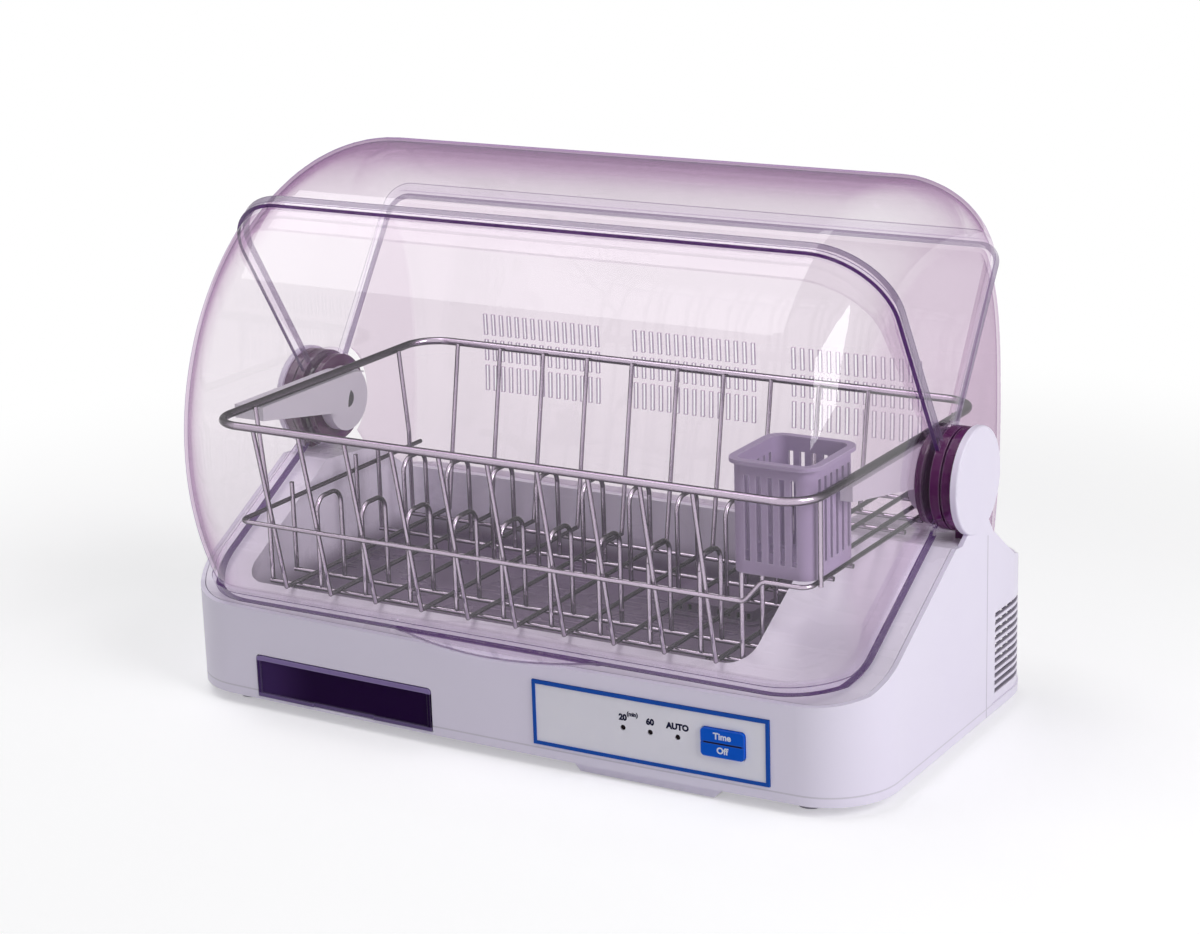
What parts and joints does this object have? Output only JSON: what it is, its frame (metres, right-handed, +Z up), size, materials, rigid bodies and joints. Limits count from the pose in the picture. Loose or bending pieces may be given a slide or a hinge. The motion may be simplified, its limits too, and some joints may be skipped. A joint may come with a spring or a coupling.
{
  "type": "dish sterilizer cabinet",
  "caption": "Countertop dish sterilizer and dryer: wire dish rack over a drip basin in a plastic base with a drip drawer and control panel, under a nested swing-back clear hood.",
  "frame": {"origin": "centre of the footprint's bounding box, on the table", "axes": "+Z up, the front with the drip drawer and control panel faces -Y, +X to the panel's side"},
  "size_m": [0.503, 0.2944, 0.3468],
  "materials": {
    "base_plastic": "satin",
    "deck_plastic": "satin",
    "clear_hood": "clear polished",
    "purple_clear": "clear polished",
    "drawer_plastic": "tinted polished",
    "panel_blue": "gloss",
    "label_film": "satin",
    "button_blue": "satin",
    "lens_red": "clear polished",
    "holder_plastic": "satin",
    "dark_plastic": "matte",
    "board_green": "matte",
    "rubber_black": "matte",
    "wire_chrome": "polished",
    "steel": "brushed"
  },
  "bodies": {
    "base": {"base_housing": "base_plastic", "rear_housing": "base_plastic", "bottom_plate": "base_plastic", "drip_deck": "deck_plastic", "rubber_feet": "rubber_black", "case_screws": "steel", "cord_gland": "rubber_black", "drawer_guides": "base_plastic", "control_bezel": "panel_blue", "control_label": "label_film", "indicator_lenses": "lens_red", "control_board": "board_green", "blower_housing": "dark_plastic", "fan_motor": "steel", "air_duct": "dark_plastic", "heater_element": "steel", "thermal_cutout": "steel", "air_grille": "deck_plastic", "terminal_block": "dark_plastic", "rear_cover": "clear_hood", "pivot_pins": "steel", "rack_arms": "holder_plastic"},
    "front_cover": {"front_cover": "clear_hood", "front_cover_hubs": "purple_clear"},
    "middle_cover": {"middle_cover": "clear_hood", "middle_cover_hubs": "purple_clear"},
    "drip_drawer": {"drip_drawer": "drawer_plastic"},
    "rack": {"rack_top_rail": "wire_chrome", "rack_mid_rail": "wire_chrome", "rack_front_bars": "wire_chrome", "rack_rear_bars": "wire_chrome", "rack_floor_bars": "wire_chrome", "rack_cross_bars": "wire_chrome", "rack_end_bars": "wire_chrome", "rack_shelf": "wire_chrome", "rack_dividers": "wire_chrome", "rack_legs": "wire_chrome"},
    "cutlery_holder": {"cutlery_holder": "holder_plastic"},
    "time_button": {"time_button": "button_blue"},
    "fan": {"fan_impeller": "dark_plastic"}
  },
  "joints": [
    {"name": "front_cover_hinge", "type": "hinge", "parent": "base", "child": "front_cover", "pos_m": [0, 0.0368, 0.167], "axis": [-1, 0, 0], "range_deg": [0, 95]},
    {"name": "middle_cover_hinge", "type": "hinge", "parent": "base", "child": "middle_cover", "pos_m": [0, 0.0368, 0.167], "axis": [-1, 0, 0], "range_deg": [0, 58]},
    {"name": "drip_drawer_slide", "type": "slide", "parent": "base", "child": "drip_drawer", "axis": [0, -1, 0], "range_m": [0, 0.12]},
    {"name": "rack_lift", "type": "slide", "parent": "base", "child": "rack", "axis": [0, 0, 1], "range_m": [0, 0.015]},
    {"name": "cutlery_holder_lift", "type": "slide", "parent": "rack", "child": "cutlery_holder", "axis": [0, 0, 1], "range_m": [0, 0.04]},
    {"name": "time_button_press", "type": "slide", "parent": "base", "child": "time_button", "axis": [0, 1, 0], "range_m": [0, 0.0012], "stiffness_N_per_m": 1000, "springref_m": -0.0005},
    {"name": "fan_spin", "type": "hinge", "parent": "base", "child": "fan", "pos_m": [0.198, 0.0648, 0.045], "axis": [0, 0, 1], "continuous": true}
  ]
}
